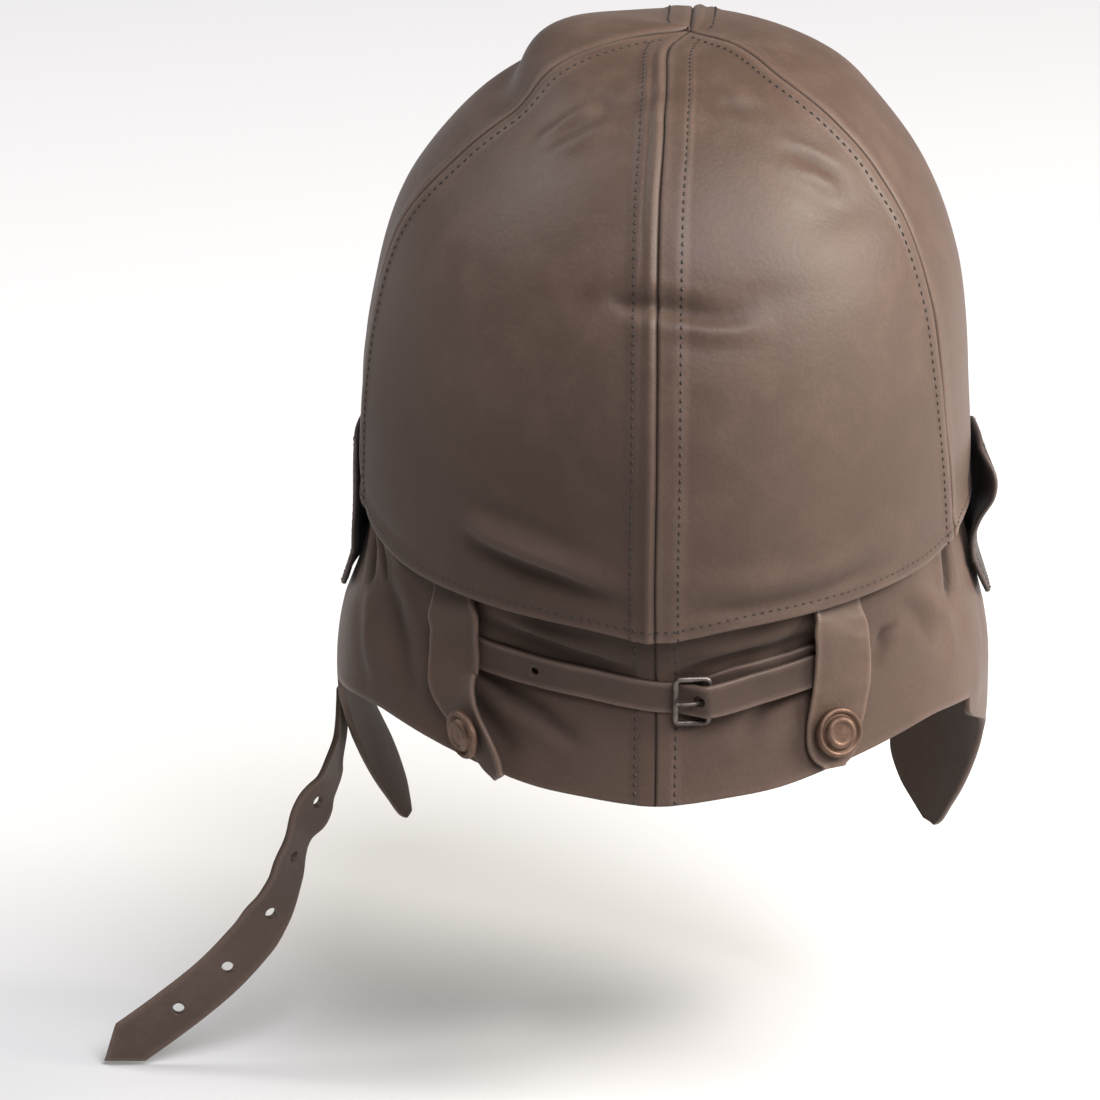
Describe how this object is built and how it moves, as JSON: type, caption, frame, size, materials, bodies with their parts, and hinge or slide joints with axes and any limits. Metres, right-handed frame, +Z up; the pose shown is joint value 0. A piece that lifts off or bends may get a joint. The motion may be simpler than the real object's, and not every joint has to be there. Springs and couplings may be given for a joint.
{
  "type": "leather flying helmet",
  "caption": "Close-fitting leather flying helmet with a four-panel crown, neck piece with buckled nape strap and snap tabs, ear flaps with chin tongues, and an unfastened chin strap.",
  "frame": {"origin": "inside of the crown at its top, where the helmet rests on a head", "axes": "+Z up, +Y towards the nape, +X towards the wearer's left"},
  "size_m": [0.2652, 0.2011, 0.3225],
  "materials": {
    "leather": "smooth brown leather, soft sheen",
    "tab_leather": "brown leather, slightly darker, cut edges",
    "strap_leather": "brown strap leather, worn edges",
    "dark_leather": "very dark brown leather, paler worn edges",
    "snap_metal": "browned brass, dull",
    "buckle_metal": "dark grey steel, worn bright on its edges"
  },
  "bodies": {
    "root": {"crown_back_left": "leather", "crown_back_right": "leather", "crown_front_left": "leather", "crown_front_right": "leather", "neck_left": "leather", "neck_right": "leather", "ear_flap_left": "leather", "ear_flap_right": "leather", "snap_tab_left": "tab_leather", "snap_tab_right": "tab_leather", "ear_cover_left": "dark_leather", "ear_cover_right": "dark_leather", "nape_strap_left": "strap_leather", "nape_strap_right": "strap_leather", "chin_strap": "strap_leather", "chin_buckle_loop": "strap_leather", "snap_cap_left": "snap_metal", "snap_cap_right": "snap_metal", "nape_buckle": "buckle_metal", "nape_prong": "buckle_metal", "chin_buckle": "buckle_metal"}
  },
  "joints": []
}
